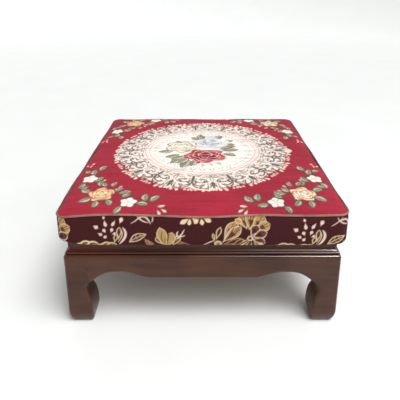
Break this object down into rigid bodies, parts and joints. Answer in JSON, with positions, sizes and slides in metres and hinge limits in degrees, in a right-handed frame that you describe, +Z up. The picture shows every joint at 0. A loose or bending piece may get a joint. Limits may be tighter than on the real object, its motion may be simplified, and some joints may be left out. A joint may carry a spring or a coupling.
{
  "type": "kneeling bench",
  "caption": "Low square kneeling bench: waisted hardwood stand with hoof-foot legs and scalloped aprons, and a thick loose boxed cushion on top.",
  "frame": {"origin": "on the floor under the middle of the bench", "axes": "+Z up, -Y to the front, +X to the right as seen from the front"},
  "size_m": [0.5, 0.5, 0.229],
  "materials": {
    "lacquered_wood": "dark walnut brown under gloss lacquer",
    "deck_wood": "stained softwood, satin",
    "raw_wood": "planed, unfinished",
    "screw_steel": "zinc plated",
    "foam": "open-cell foam",
    "chenille": "jujube red chenille with a woven flower medallion and corner sprays",
    "damask": "dark maroon upholstery cloth with woven gold and cream flowers",
    "backing_cloth": "plain woven",
    "piping": "cloth-covered cord",
    "zip_tape": "woven tape",
    "zip_nylon": "nylon coil",
    "zip_metal": "antique brass plated"
  },
  "bodies": {
    "bench": {"leg_front_left": "lacquered_wood", "leg_front_right": "lacquered_wood", "leg_back_left": "lacquered_wood", "leg_back_right": "lacquered_wood", "apron_front": "lacquered_wood", "apron_back": "lacquered_wood", "apron_left": "lacquered_wood", "apron_right": "lacquered_wood", "waist_front": "lacquered_wood", "waist_back": "lacquered_wood", "waist_left": "lacquered_wood", "waist_right": "lacquered_wood", "top_frame_front": "lacquered_wood", "top_frame_back": "lacquered_wood", "top_frame_left": "lacquered_wood", "top_frame_right": "lacquered_wood", "deck_panel": "deck_wood", "deck_batten_left": "raw_wood", "deck_batten_right": "raw_wood", "glue_blocks": "raw_wood", "deck_screws": "screw_steel"},
    "cushion": {"foam_core": "foam", "cover_top": "chenille", "cover_band": "damask", "cover_bottom": "backing_cloth", "piping_top": "piping", "zip_tape_upper": "zip_tape", "zip_tape_lower": "zip_tape", "zip_chain": "zip_nylon", "zip_stops": "zip_metal"},
    "zip_slider": {"zip_slider": "zip_metal"},
    "zip_pull": {"zip_pull": "zip_metal"}
  },
  "joints": [
    {"name": "cushion_lift", "type": "slide", "parent": "bench", "child": "cushion", "axis": [0, 0, 1], "range_m": [0, 0.12]},
    {"name": "zip_slide", "type": "slide", "parent": "cushion", "child": "zip_slider", "axis": [1, 0, 0], "range_m": [-0.36, 0]},
    {"name": "zip_pull_turn", "type": "hinge", "parent": "zip_slider", "child": "zip_pull", "pos_m": [0.1842, 0.24735, 0.194], "axis": [0, 0, -1], "range_deg": [0, 160]}
  ]
}
